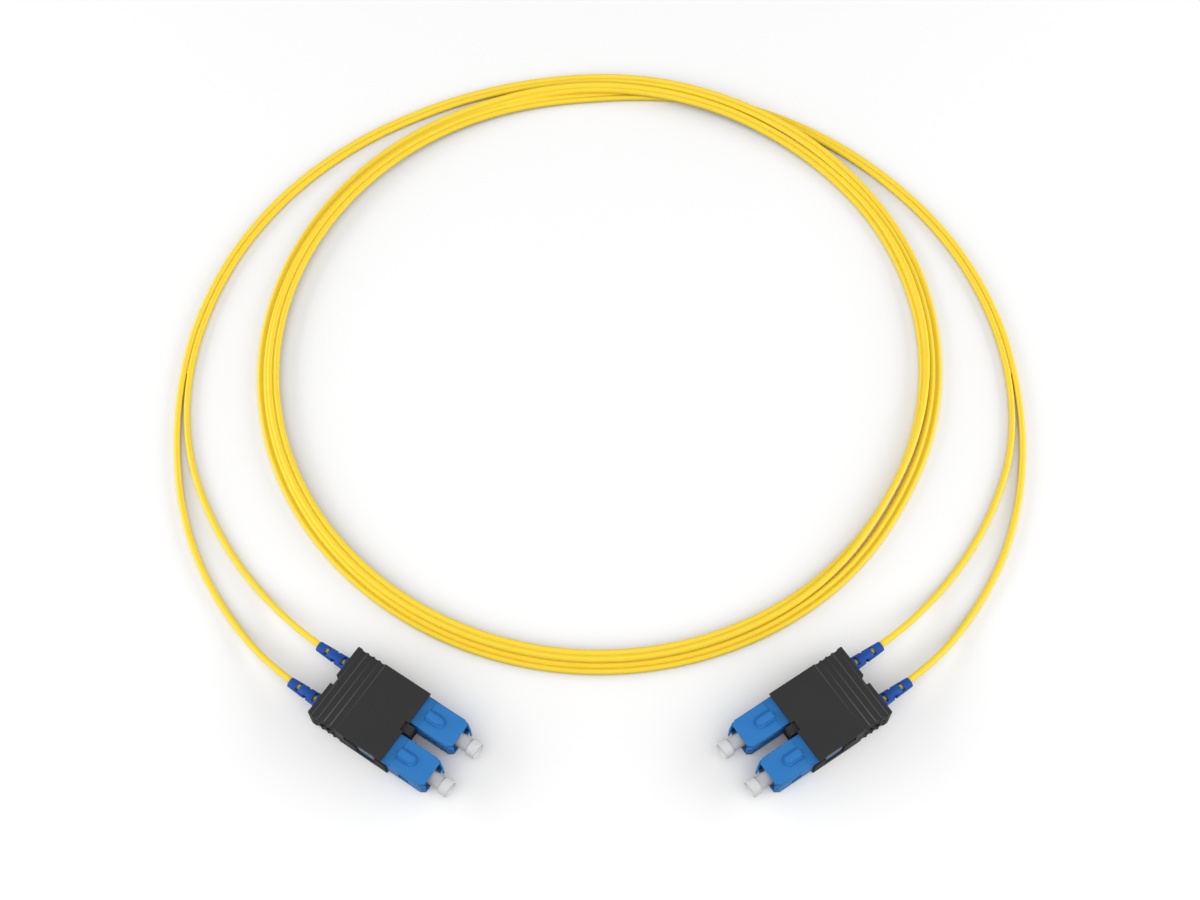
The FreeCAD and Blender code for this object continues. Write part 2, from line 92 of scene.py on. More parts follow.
class Wiring:
    """The nodes of a finish or of the sky, with one method that adds any of them."""

    def __init__(self, tree):
        self.tree = tree

    def give(self, socket, value):
        if isinstance(value, Signal):
            self.tree.links.new(value.socket, socket)
        else:
            socket.default_value = value

    def node(self, kind, settings=None, sockets=None, output=0):
        node = self.tree.nodes.new(kind)
        for name, value in (settings or {}).items():
            setattr(node, name, value)
        for name, value in (sockets or {}).items():
            self.give(node.inputs[name], value)
        return Signal(self, node.outputs[output])

    def seen(self):
        """One where a camera, mirror or see-through ray meets a surface, and nought where it is only lit."""
        camera_ray, mirror_ray, clear_ray = [self.node("ShaderNodeLightPath", output=ray) for ray in SEEN_RAYS]
        return camera_ray + mirror_ray + clear_ray


class Finish(Wiring):
    """A material that is painted by the place on the piece."""

    def __init__(self, name):
        self.material = bpy.data.materials.new(name)
        self.material.use_nodes = True
        super().__init__(self.material.node_tree)
        self.shader = self.tree.nodes["Principled BSDF"]
        self.place = self.node("ShaderNodeTexCoord", output="Object")

    def set(self, **sockets):
        for name, value in sockets.items():
            self.give(self.shader.inputs[name.replace("_", " ")], value)

    def noise(self, size, detail=3):
        return self.node("ShaderNodeTexNoise", {}, {"Vector": self.place, "Scale": 1 / size, "Detail": detail})

    def blend(self, amount, first, second):
        colours = {"Factor": amount, 6: (*first, 1), 7: (*second, 1)}
        return self.node("ShaderNodeMix", {"data_type": "RGBA"}, colours, 2)

    def bump(self, height, depth):
        return self.node("ShaderNodeBump", {}, {"Height": height, "Distance": depth, "Strength": 1.0})


scene = bpy.context.scene
scene.view_settings.view_transform = "Standard"
bpy.ops.object.select_all(action="DESELECT")
bpy.ops.mesh.primitive_plane_add(size=TABLE_SIZE, location=(0, 0, 0))
table = bpy.context.object
table.name = "table_top"
table_white = Finish("table_white")
table_white.set(Base_Color=table_white.blend(table_white.seen(), TABLE_BOUNCE, TABLE_WHITE),
                Roughness=TABLE_ROUGHNESS, Specular_IOR_Level=0.0)
table.data.materials.append(table_white.material)

for spot, width, height, power in PANELS:
    bpy.ops.object.light_add(type="AREA", location=VIEW_CENTRE + Vector(spot))
    panel = bpy.context.object
    panel.data.shape = "RECTANGLE"
    panel.data.size = width
    panel.data.size_y = height
    panel.data.energy = power
    panel.rotation_euler = (VIEW_CENTRE - panel.location).to_track_quat("-Z", "Y").to_euler()

sky = bpy.data.worlds.new("studio_white")
sky.use_nodes = True
tent = Wiring(sky.node_tree)
levels = {"Value": tent.seen(), "To Min": SKY_STRENGTH, "To Max": SKY_SEEN}
background = sky.node_tree.nodes["Background"]
tent.give(background.inputs["Color"], (1, 1, 1, 1))
tent.give(background.inputs["Strength"], tent.node("ShaderNodeMapRange", {}, levels))
scene.world = sky

back = Vector((0, -math.cos(VIEW_ELEVATION), math.sin(VIEW_ELEVATION)))
bpy.ops.object.camera_add(location=VIEW_CENTRE + back * VIEW_DISTANCE)
camera = bpy.context.object
camera.data.lens = LENS_MM
camera.data.sensor_width = SENSOR_MM
camera.data.clip_start = NEAREST_SEEN
camera.rotation_euler = (-back).to_track_quat("-Z", "Y").to_euler()
scene.camera = camera

# Duplex cord
# Two yellow jacketed strands moulded side by side, 1.9 mm thick each, with a fibre in the middle of both.
# Each end is split into two legs that go into the boots, and the rest lies in two loose turns on the table.
STRAND_D = 0.0019
STRAND_PITCH = 0.0020
FLOOR = STRAND_D / 2
PLUG_PITCH = 0.0127
PLUG_Z = 0.0047
PAIR_X = 0.05235
PAIR_Y = -0.004109
PAIR_YAW = math.radians(33.7)
STRAND_START = -0.0192
BOOT_TAIL = -0.0355
EXIT_RUN = 0.004
LEG_OUTER = [(0.1026, 0.0271), (0.1151, 0.0457), (0.1227, 0.0650), (0.1267, 0.0848)]
LEG_INNER = [(0.0962, 0.0374), (0.1073, 0.0511), (0.1166, 0.0673), (0.1232, 0.0848)]
DUPLEX_LEFT = [(-0.1270, 0.1053), (-0.1253, 0.1271), (-0.1189, 0.1496),
               (-0.1087, 0.1693), (-0.0950, 0.1868), (-0.0770, 0.2023)]
DUPLEX_RIGHT = [(0.0939, 0.1845), (0.1070, 0.1686), (0.1176, 0.1493), (0.1244, 0.1273), (0.1265, 0.1053)]
COIL_Y = 0.1191
COIL_STEP = 8
CROSSING_LIFT = 0.0020
# The strand's spline passes inside the points of a turn: a point has this share, and its neighbours the rest
POINT_SHARE = 0.75
# Angle, radius, lift in strands and roll of the pair, clockwise from where the cord joins the coil
FIRST_TURN = [(121, 0.1101, 0, 0), (110, 0.1084, 0, 0), (100, 0.1076, 0.1, 0), (91, 0.1071, 0.5, 0),
              (80, 0.1064, 1, 0), (52, 0.1053, 1, 0), (42, 0.1051, 0.5, 0), (32, 0.1050, 0.1, 0),
              (20, 0.1046, 0, 0), (0, 0.1033, 0, 0), (-20, 0.1024, 0, 0), (-32, 0.1020, 0, 0),
              (-46, 0.1029, 0, 0), (-60, 0.1032, 0, 0), (-90, 0.1034, 0, 0), (-150, 0.1034, 0, -6),
              (-180, 0.1033, 0, -8), (-200, 0.1032, 0, 0), (-225, 0.1032, 0, 15)]
SECOND_TURN = [(-248, 0.1031, 0.1, 15), (-260, 0.1028, 0.7, 12), (-268, 0.1026, 1, 10), (-293, 0.1017, 1, 0),
               (-304, 0.1014, 0.6, 0), (-316, 0.1014, 0.1, 8), (-330, 0.1013, 0, 15), (-350, 0.1002, 0, 45),
               (-360, 0.0998, 0, 50), (-370, 0.0992, 0, 62), (-380, 0.0988, 0, 76), (-392, 0.0984, 0, 86),
               (-400, 0.0988, 0.2, 62), (-409, 0.0997, 0.5, 34), (-420, 0.1001, 0.7, 20),
               (-450, 0.1005, 0.8, 10), (-510, 0.1004, 0.8, 5), (-540, 0.1001, 0.8, 0),
               (-575, 0.0996, 0.8, 0), (-599, 0.0996, 0.6, 0)]
WAY_OUT = [(-622, 0.0998, 0, 0), (-629, 0.1000, 0, 0), (-638, 0.1018, 0, 0), (-645, 0.1037, 0, 0),
           (-652, 0.1056, 0, 0), (-660, 0.1076, 0, 0), (-670, 0.1100, 0, 0), (-676, 0.1116, 0, 0)]
CURVE_STEPS = 5
CURVE_SIDES = 6
PATCH_SIZE = 0.006
SHEEN_SPREAD = 0.04


def between(keys, angle, column):
    """Reads a column of the turns at an angle that lies between two rows."""
    for before, after in zip(keys, keys[1:]):
        if after[0] <= angle <= before[0]:
            share = (before[0] - angle) / (before[0] - after[0])
            return before[column] + (after[column] - before[column]) * share
    return keys[-1][column]


def coil_points():
    keys = FIRST_TURN + SECOND_TURN + WAY_OUT
    first, last = keys[0][0], keys[-1][0]
    count = round((first - last) / COIL_STEP)
    step = (last - first) / count
    swell = 1 / (POINT_SHARE + (1 - POINT_SHARE) * math.cos(math.radians(step)))
    points = []
    for index in range(count + 1):
        angle = max(first + step * index, last)
        radius = between(keys, angle, 1) * swell
        lift = between(keys, angle, 2) * CROSSING_LIFT
        roll = math.radians(between(keys, angle, 3))
        turn = math.radians(angle)
        height = FLOOR + lift + abs(math.sin(roll)) * STRAND_PITCH / 2
        points.append((Vector((radius * math.cos(turn), COIL_Y + radius * math.sin(turn), height)), roll))
    return points


def plug_point(x, side, mirror):
    """A place on the axis of a plug, x metres along it, on the inner side (1) or the outer side (-1)."""
    y = side * PLUG_PITCH / 2
    across = -PAIR_X + x * math.cos(PAIR_YAW) + y * math.sin(PAIR_YAW)
    along = PAIR_Y - x * math.sin(PAIR_YAW) + y * math.cos(PAIR_YAW)
    return Vector((mirror * across, along, PLUG_Z))


def strand_points(side):
    """A strand's route: out of the left plug, down its leg, round the coil and into the right plug."""
    left = [plug_point(STRAND_START, side, 1), plug_point(BOOT_TAIL - EXIT_RUN, side, 1)]
    right = [plug_point(BOOT_TAIL - EXIT_RUN, side, -1), plug_point(STRAND_START, side, -1)]
    leg = LEG_INNER if side > 0 else LEG_OUTER
    left += [Vector((-x, y, FLOOR)) for x, y in leg]
    right = [Vector((x, y, FLOOR)) for x, y in reversed(leg)] + right
    pair = [(Vector((x, y, FLOOR)), 0) for x, y in DUPLEX_LEFT]
    pair += coil_points()
    pair += [(Vector((x, y, FLOOR)), 0) for x, y in DUPLEX_RIGHT]
    middle = []
    for index, (point, roll) in enumerate(pair):
        before = pair[max(index - 1, 0)][0]
        after = pair[min(index + 1, len(pair) - 1)][0]
        along = (after - before).normalized()
        outward = Vector((-along.y, along.x, 0)).normalized()
        offset = outward * math.cos(roll) + Vector((0, 0, math.sin(roll)))
        middle.append(point - offset * side * STRAND_PITCH / 2)
    return left + middle + right


def curve_through(name, points, thickness):
    curve = bpy.data.curves.new(name, "CURVE")
    curve.dimensions = "3D"
    curve.resolution_u = CURVE_STEPS
    curve.bevel_depth = thickness / 2
    curve.bevel_resolution = CURVE_SIDES
    curve.use_fill_caps = True
    spline = curve.splines.new("NURBS")
    spline.points.add(len(points) - 1)
    for knot, point in zip(spline.points, points):
        knot.co = (*point, 1)
    spline.order_u = 3
    spline.use_endpoint_u = True
    piece = bpy.data.objects.new(name, curve)
    scene.collection.objects.link(piece)
    return piece


def spots_along(points):
    """The places that a strand laid through these points passes, read from the curve itself."""
    curve = curve_through("measure", points, 0)
    line = bpy.data.meshes.new_from_object(curve)
    spots = [vertex.co.copy() for vertex in line.vertices]
    bpy.data.objects.remove(curve)
    return spots


def grained(name, roughness, grain, grain_depth, gloss=0.25):
    """Moulded plastic before it has its colour: a fine tool grain and a slightly uneven sheen."""
    finish = Finish(name)
    finish.patches = finish.noise(PATCH_SIZE, detail=4)
    finish.set(Roughness=roughness - SHEEN_SPREAD + finish.patches * (2 * SHEEN_SPREAD),
               Normal=finish.bump(finish.noise(grain, detail=5), grain_depth), Specular_IOR_Level=gloss)
    return finish


def moulded(name, colour, deep, roughness, grain, grain_depth, gloss=0.25):
    """Moulded plastic whose colour deepens a little in patches."""
    finish = grained(name, roughness, grain, grain_depth, gloss)
    finish.set(Base_Color=finish.blend(finish.patches, colour, deep))
    return finish


jacket = moulded("yellow_jacket", colour=(0.91, 0.662, 0.042), deep=(0.88, 0.63, 0.036), roughness=0.45,
                 grain=0.00035, grain_depth=0.000012, gloss=0.3)
lines = []
strands = []
for place, side in (("inner", 1), ("outer", -1)):
    points = strand_points(side)
    lines.append(spots_along(points))
    strand = curve_through(place + "_strand", points, STRAND_D)
    strand.data.materials.append(jacket.material)
    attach(strand, "cable")
    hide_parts("left_" + place + "_strand", "right_" + place + "_strand", "coil")
    strands.append(strand)

# Web of the duplex cord
# The thin bridge of the same yellow jacket that holds the two strands together until they are split.
# It runs down the middle between them, from where the legs meet at one end to where they part at the other.
WEB_D = 0.0009
WEB_SIDES = 2
WEB_REACH = STRAND_PITCH * 1.06


def work_on(piece):
    bpy.ops.object.select_all(action="DESELECT")
    piece.select_set(True)
    bpy.context.view_layer.objects.active = piece


middle = [(a + b) / 2 for a, b in zip(*lines) if (a - b).length < WEB_REACH]
bridge = bpy.data.curves.new("web", "CURVE")
bridge.dimensions = "3D"
bridge.bevel_depth = WEB_D / 2
bridge.bevel_resolution = WEB_SIDES
path = bridge.splines.new("POLY")
path.points.add(len(middle) - 1)
for knot, spot in zip(path.points, middle):
    knot.co = (*spot, 1)
web = bpy.data.objects.new("web", bridge)
scene.collection.objects.link(web)
work_on(web)
bpy.ops.object.convert(target="MESH")
web = bpy.context.object
web.data.materials.clear()
web.data.materials.append(jacket.material)
bpy.ops.object.shade_smooth()
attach(web, "cable")
for strand, spots, side in zip(strands, lines, (1, -1)):
    length = sum((b - a).length for a, b in zip(spots, spots[1:]))
    print(strand.name, "length", round(length, 4))
    tuple(plug_point(BOOT_TAIL, side, 1))

# Ferrule, holder and fibre
# A white zirconia ferrule is pressed into a nickel-plated holder, with the coated fibre glued in its bore.
# They sit in the middle of each plug, hidden by the cap, the housing and the plug frame.
PLACES = [(end, mirror, place, side) for end, mirror in (("left", 1), ("right", -1))
          for place, side in (("inner", 1), ("outer", -1))]


def dress(part, finish):
    for end, mirror, place, side in PLACES:
        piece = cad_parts[end + "_" + place + "_" + part]
        piece.data.materials.clear()
        piece.data.materials.append(finish.material)


ceramic = moulded("zirconia_white", colour=(0.86, 0.86, 0.83), deep=(0.84, 0.84, 0.81), roughness=0.18,
                  grain=0.001, grain_depth=0.000002, gloss=0.5)
nickel = moulded("nickel_plate", colour=(0.62, 0.60, 0.57), deep=(0.58, 0.56, 0.53), roughness=0.28,
                 grain=0.0003, grain_depth=0.000003, gloss=0.5)
nickel.set(Metallic=1.0)
coating = moulded("buffer_white", colour=(0.8, 0.8, 0.78), deep=(0.78, 0.78, 0.76), roughness=0.4,
                  grain=0.0005, grain_depth=0.000004)
dress("ferrule", ceramic)
dress("ferrule_holder", nickel)
dress("fibre", coating)

# Spring
# A coil of round steel wire that pushes the ferrule holder forward from the rear body, in each plug.
# It is wound in five open turns.
SPRING_REAR, SPRING_FRONT = -6.2, 2.1
SPRING_D, SPRING_WIRE, SPRING_TURNS = 3.9, 0.5, 5
SPRING_SEAT = 0.6 * SPRING_WIRE
WIRE_SIDES, WINDING_STEPS = 10, 24
WIRE_SMOOTH = math.radians(40)


def metres(values):
    return [value / 1000 for value in values]


def put(piece, finish, mirror, y, z, node, body):
    """Sets a copy of a piece in its pair in place of the plain one, the right pair as a mirror image."""
    copy = piece.copy()
    copy.data = piece.data.copy()
    copy.name = node + "_piece"
    scene.collection.objects.link(copy)
    stance = Matrix.Diagonal((mirror, 1, 1, 1)) @ Matrix.Translation((-PAIR_X, PAIR_Y, 0))
    stance = stance @ Matrix.Rotation(-PAIR_YAW, 4, "Z") @ Matrix.Translation((0, y, z))
    copy.data.transform(stance)
    if mirror < 0:
        copy.data.flip_normals()
    copy.data.materials.clear()
    copy.data.materials.append(finish.material)
    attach(copy, body)
    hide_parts(node)
    return copy


bpy.ops.object.select_all(action="DESELECT")
wire_start = (SPRING_REAR + SPRING_SEAT, 0, (SPRING_D - SPRING_WIRE) / 2)
bpy.ops.mesh.primitive_circle_add(vertices=WIRE_SIDES, radius=SPRING_WIRE / 2000, location=metres(wire_start),
                                  rotation=(math.pi / 2, 0, 0))
spring = bpy.context.object
bpy.ops.object.transform_apply(location=True, rotation=True, scale=True)
winding = spring.modifiers.new("winding", "SCREW")
winding.axis = "X"
winding.screw_offset = (SPRING_FRONT - SPRING_REAR - 2 * SPRING_SEAT) / SPRING_TURNS / 1000
winding.iterations = SPRING_TURNS
winding.steps = WINDING_STEPS
winding.render_steps = WINDING_STEPS
bpy.ops.object.modifier_apply(modifier=winding.name)
bpy.ops.object.mode_set(mode="EDIT")
bpy.ops.mesh.select_all(action="SELECT")
bpy.ops.mesh.fill_holes(sides=0)
bpy.ops.mesh.select_all(action="SELECT")
bpy.ops.mesh.normals_make_consistent(inside=False)
bpy.ops.object.mode_set(mode="OBJECT")
bpy.ops.object.shade_smooth_by_angle(angle=WIRE_SMOOTH)
spring_wire = moulded("spring_wire", colour=(0.55, 0.55, 0.55), deep=(0.5, 0.5, 0.5), roughness=0.35,
                      grain=0.0002, grain_depth=0.000003, gloss=0.5)
spring_wire.set(Metallic=1.0)
for end, mirror, place, side in PLACES:
    plug = end + "_" + place + "_"
    coil = put(spring, spring_wire, mirror, side * PLUG_PITCH / 2, PLUG_Z,
               plug + "spring", "cable")
    seat = plug_point(SPRING_REAR / 1000, side, mirror)
    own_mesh(coil)
bpy.data.objects.remove(spring)

# Plug frame
# The inner body of each plug, moulded in a pale plastic, which clicks into the socket.
# Its side bosses show through the windows of the blue sleeve, where shade falls on them, so the whole frame is
# painted a dark grey-brown as painted shade.
dress("plug_frame", moulded("frame_in_painted_shade", colour=(0.23, 0.21, 0.19), deep=(0.21, 0.19, 0.175), roughness=0.45,
                            grain=0.0004, grain_depth=0.000008))

# Rear body and crimp sleeve
# A turned brass body, nickel plated, closes the back of the plug frame and takes the cord's strength yarn.
# The steel sleeve crimped over its barrel holds the yarn, and the boot covers both.
crimped = moulded("crimped_steel", colour=(0.52, 0.51, 0.50), deep=(0.48, 0.47, 0.46), roughness=0.38,
                  grain=0.0003, grain_depth=0.000005, gloss=0.5)
crimped.set(Metallic=1.0)
dress("rear_body", nickel)
dress("crimp_sleeve", crimped)

# Bend boot
# A soft blue sleeve pushed over the crimp, which keeps the cord from being bent sharply at the plug.
# It tapers behind the clip and has three pairs of slots, turned a quarter from one pair to the next.
BOOT_FACETS = 72
BOOT_PROFILE = [(-35.5, 1.15), (-35.5, 1.375), (-35.4, 1.475), (-24.6, 2.025), (-22.2, 2.025), (-21.6, 2.55),
                (-13.4, 2.55), (-13.4, 2.18), (-18.08, 2.18), (-18.08, 1.03), (-30.5, 1.03), (-35.5, 1.15)]
BOOT_EDGE = 0.08
SLOTS = 3
SLOT_W = 0.9
SLOT_FIRST = -32.3
SLOT_PITCH = 2.9
SLOT_BRIDGE = 0.575
SLOT_HALF = 1.26
SLOT_OUT = 3.0
MERGE_REACH = 0.000003
MOULD_EDGE_ANGLE = math.radians(25)
MOULD_SMOOTH = math.radians(30)


def turned(name, profile, facets):
    """A lathe part: a ring drawn out along X through places and radii in millimetres."""
    bpy.ops.object.select_all(action="DESELECT")
    start, radius = profile[0]
    bpy.ops.mesh.primitive_circle_add(vertices=facets, radius=radius / 1000, location=metres((start, 0, 0)),
                                      rotation=(0, math.pi / 2, 0))
    piece = bpy.context.object
    piece.name = name
    bpy.ops.object.transform_apply(location=True, rotation=True, scale=True)
    bpy.ops.object.mode_set(mode="EDIT")
    bpy.ops.mesh.select_mode(type="EDGE")
    bpy.ops.mesh.select_all(action="SELECT")
    for (x0, r0), (x1, r1) in zip(profile, profile[1:]):
        bpy.ops.mesh.extrude_region_move(TRANSFORM_OT_translate={"value": metres((x1 - x0, 0, 0))})
        bpy.ops.transform.resize(value=(1, r1 / r0, r1 / r0), center_override=metres((x1, 0, 0)))
    bpy.ops.mesh.select_all(action="SELECT")
    bpy.ops.mesh.remove_doubles(threshold=MERGE_REACH)
    bpy.ops.mesh.normals_make_consistent(inside=False)
    bpy.ops.object.mode_set(mode="OBJECT")
    return piece


def block(name, low, high):
    """A block between two corners, in millimetres."""
    bpy.ops.object.select_all(action="DESELECT")
    bpy.ops.mesh.primitive_cube_add(size=0.001, location=[(a + b) / 2000 for a, b in zip(low, high)],
                                    scale=[b - a for a, b in zip(low, high)])
    piece = bpy.context.object
    piece.name = name
    bpy.ops.object.transform_apply(location=True, rotation=True, scale=True)
    return piece


def join(piece, other, operation="UNION"):
    """Joins another body to a piece, or cuts it out, and clears the other away."""
    work_on(piece)
    tool = piece.modifiers.new(operation.lower(), "BOOLEAN")
    tool.operation = operation
    tool.solver = "EXACT"
    tool.object = other
    bpy.ops.object.modifier_apply(modifier=tool.name)
    bpy.data.objects.remove(other)


def cut(piece, *others):
    for other in others:
        join(piece, other, "DIFFERENCE")


def soften(piece, width):
    """Breaks the sharp edges as a mould does, by a width in millimetres."""
    work_on(piece)
    edges = piece.modifiers.new("broken_edges", "BEVEL")
    edges.width = width / 1000
    edges.segments = 2
    edges.limit_method = "ANGLE"
    edges.angle_limit = MOULD_EDGE_ANGLE
    edges.use_clamp_overlap = False
    bpy.ops.object.modifier_apply(modifier=edges.name)
    flats = piece.modifiers.new("flat_triangles", "TRIANGULATE")
    flats.min_vertices = 5
    bpy.ops.object.modifier_apply(modifier=flats.name)
    bpy.ops.object.shade_smooth_by_angle(angle=MOULD_SMOOTH)


def put_in_plugs(piece, finish, part, body):
    """Sets a piece in all four plugs, on a body whose name may hold the end or the plug."""
    for end, mirror, place, side in PLACES:
        plug = end + "_" + place
        put(piece, finish, mirror, side * PLUG_PITCH / 2, PLUG_Z, plug + "_" + part,
            body.format(end=end, plug=plug))
    bpy.data.objects.remove(piece)


boot = turned("boot", BOOT_PROFILE, BOOT_FACETS)
for index in range(SLOTS):
    x = SLOT_FIRST + SLOT_PITCH * index
    for side in (1, -1):
        near, far = sorted((side * SLOT_BRIDGE, side * SLOT_OUT))
        low, high = (-SLOT_HALF, near), (SLOT_HALF, far)
        if index % 2:
            low, high = low[::-1], high[::-1]
        cut(boot, block("slot", (x - SLOT_W / 2, *low), (x + SLOT_W / 2, *high)))
soften(boot, BOOT_EDGE)
boot_blue = moulded("boot_blue", colour=(0.011, 0.072, 0.34), deep=(0.010, 0.065, 0.31), roughness=0.5,
                    grain=0.0004, grain_depth=0.000008, gloss=0.2)
put_in_plugs(boot, boot_blue, "boot", "cable")

# Outer housing
# The square blue sleeve that is gripped, moulded in one piece, with windows in its sides and a hollow core.
# Its top steps down behind the key, a raised bar with a round nose in a shallow moat that fits one way up.
REAR, FRONT = -13.0, 13.3
HALF_W, HALF_H = 4.45, 3.7
# The cuts run out to this far off the axis, and this far past the ends
BEYOND, PAST_END = 5.0, 1.0
STEP_X, STEP_DROP = 2.6, 0.2
KEY_END, KEY_HALF, KEY_TOP, KEY_ROOT = 7.5, 1.0, 4.35, 0.4
MOAT, MOAT_DEPTH = 0.8, 0.15
NOSE_FACETS = 48
CORNER_LONG, CORNER_WIDE = 1.3, 0.75
EDGE_ROUND, EDGE_SEGMENTS = 0.35, 5
HOUSING_EDGE = 0.12
CORE_HALF_W, CORE_HALF_H = 3.6, 2.85
BOSS_REAR, BOSS_FRONT = -9.0, -0.98
LATCH_REAR, LATCH_FRONT, LATCH_LOW, LATCH_HIGH = 5.0, 8.2, -2.6, 0.4
# The prong on the inner side (1) reaches further forward than the one on the outer side (-1)
PRONG_TIPS = {1: 14.6, -1: 13.6}
PRONG_BEND, PRONG_ROOT, PRONG_THICK, PRONG_HALF_H = 12.6, 2.7, 0.52, 2.3
PRONG_SPARE = 11.3
SAME_PLACE = 1e-6


def rod(name, middle, radius, length, turn, facets):
    """A round bar about a middle point, in millimetres, lying along Z until it is turned."""
    bpy.ops.object.select_all(action="DESELECT")
    bpy.ops.mesh.primitive_cylinder_add(vertices=facets, radius=radius / 1000, depth=length / 1000,
                                        location=metres(middle), rotation=turn)
    piece = bpy.context.object
    piece.name = name
    bpy.ops.object.transform_apply(location=True, rotation=True, scale=True)
    return piece


def round_long_edges(piece, radius):
    """Rounds the edges of a block that run along X, picked by where they lie."""
    bpy.ops.object.mode_set(mode="EDIT")
    bpy.ops.mesh.select_mode(type="EDGE")
    bpy.ops.mesh.select_all(action="DESELECT")
    bpy.ops.object.mode_set(mode="OBJECT")
    spots = piece.data.vertices
    for edge in piece.data.edges:
        a, b = (spots[index].co for index in edge.vertices)
        edge.select = abs(a.y - b.y) < SAME_PLACE and abs(a.z - b.z) < SAME_PLACE
    bpy.ops.object.mode_set(mode="EDIT")
    bpy.ops.mesh.bevel(offset=radius / 1000, segments=EDGE_SEGMENTS, affect="EDGES")
    bpy.ops.object.mode_set(mode="OBJECT")


def slice_off(piece, spot, outward):
    """Saws off what lies outside a plane, with places in millimetres."""
    work_on(piece)
    bpy.ops.object.mode_set(mode="EDIT")
    bpy.ops.mesh.select_all(action="SELECT")
    bpy.ops.mesh.bisect(plane_co=metres(spot), plane_no=outward, use_fill=True, clear_outer=True)
    bpy.ops.object.mode_set(mode="OBJECT")


def nosed_bar(name, start, end, half, low, high):
    """A flat bar with a round nose: half of a disc whose flat back is drawn out to the start of the bar."""
    bar = rod(name, (end - half, 0, (low + high) / 2), half, high - low, (0, 0, 0), NOSE_FACETS)
    slice_off(bar, (end - half, 0, 0), (-1, 0, 0))
    bpy.ops.object.mode_set(mode="EDIT")
    bpy.ops.mesh.select_mode(type="FACE")
    bpy.ops.mesh.select_all(action="DESELECT")
    bpy.ops.object.mode_set(mode="OBJECT")
    for face in bar.data.polygons:
        face.select = face.normal.x < -0.99
    bpy.ops.object.mode_set(mode="EDIT")
    bpy.ops.mesh.extrude_region_move(TRANSFORM_OT_translate={"value": metres((start - end + half, 0, 0))})
    bpy.ops.object.mode_set(mode="OBJECT")
    return bar


housing = block("outer_housing", (REAR, -HALF_W, -HALF_H), (FRONT, HALF_W, HALF_H))
round_long_edges(housing, EDGE_ROUND)
for side in (1, -1):
    slice_off(housing, (FRONT - CORNER_LONG, side * HALF_W, 0), (CORNER_WIDE, side * CORNER_LONG, 0))
cut(housing, block("step", (REAR - PAST_END, -BEYOND, HALF_H - STEP_DROP), (STEP_X, BEYOND, BEYOND)),
    nosed_bar("moat", STEP_X, KEY_END + MOAT, KEY_HALF + MOAT, HALF_H - MOAT_DEPTH, BEYOND))
join(housing, nosed_bar("key", STEP_X, KEY_END, KEY_HALF, HALF_H - KEY_ROOT, KEY_TOP))
cut(housing, block("core", (REAR - PAST_END, -CORE_HALF_W, -CORE_HALF_H),
                   (FRONT + PAST_END, CORE_HALF_W, CORE_HALF_H)),
    block("boss_window", (BOSS_REAR, -BEYOND, -CORE_HALF_H), (BOSS_FRONT, BEYOND, CORE_HALF_H)),
    block("latch_window", (LATCH_REAR, -BEYOND, LATCH_LOW), (LATCH_FRONT, BEYOND, LATCH_HIGH)))
slope = CORNER_WIDE / CORNER_LONG
for side in (1, -1):
    near, far = sorted((side * PRONG_ROOT, side * HALF_W))
    prong = block("prong", (FRONT - CORNER_LONG, near, -PRONG_HALF_H), (PRONG_TIPS[side], far, PRONG_HALF_H))
    slice_off(prong, (PRONG_BEND, side * HALF_W, 0), (slope, side, 0))
    inner = side * (HALF_W - PRONG_THICK)
    slice_off(prong, (PRONG_BEND, inner, 0), (-slope, -side, 0))
    near, far = sorted((0, inner))
    cut(prong, block("spare", (PRONG_SPARE, near, -BEYOND), (PRONG_BEND, far, BEYOND)))
    join(housing, prong)
soften(housing, HOUSING_EDGE)
blue = moulded("housing_blue", colour=(0.036, 0.192, 0.50), deep=(0.033, 0.180, 0.475), roughness=0.42,
               grain=0.0003, grain_depth=0.000006, gloss=0.04)
put_in_plugs(housing, blue, "outer_housing", "{end}_grip")

# Dust cap
# A frosted clear cap pushed over the ferrule, with a thin neck and a wider head to pull it off by.
# The head is closed and nearly white, and the hollow neck is painted greyer, as painted shade for the dark
# socket behind it.
CAP_FACETS = 72
CAP_PROFILE = [(8.7, 1.5), (8.7, 1.85), (8.9, 2.05), (16.35, 2.05), (16.5, 2.15), (16.6, 2.42), (16.78, 2.53),
               (18.85, 2.55), (19.1, 2.5), (19.2, 2.38), (19.2, 2.12), (19.05, 1.98), (18.9, 1.9),
               (18.9, 0.001), (14.8, 0.001), (14.8, 1.28), (9.1, 1.28), (8.7, 1.5)]
CAP_EDGE = 0.05
CAP_HEAD_START = 16.45
CAP_NECK_PAINTED_SHADE, CAP_HEAD = (0.54, 0.54, 0.55), (0.61, 0.615, 0.62)
CAP_GRAIN, CAP_GRAIN_DEPTH = 0.0004, 0.000006
cap = turned("dust_cap", CAP_PROFILE, CAP_FACETS)
soften(cap, CAP_EDGE)
along = cap.data.attributes.new("along", "FLOAT", "POINT")
for spot, mark in zip(cap.data.vertices, along.data):
    mark.value = spot.co.x * 1000
frosted = Finish("frosted_clear")
# The neck is painted greyer than the head: painted shade for the dark hollow behind its frosted wall
head = frosted.node("ShaderNodeAttribute", {"attribute_name": "along"}, output="Fac") > CAP_HEAD_START
frosted.set(Base_Color=frosted.blend(head, CAP_NECK_PAINTED_SHADE, CAP_HEAD), Roughness=0.38,
            Normal=frosted.bump(frosted.noise(CAP_GRAIN), CAP_GRAIN_DEPTH), Specular_IOR_Level=0.4)
put_in_plugs(cap, frosted, "dust_cap", "{plug}_cap")

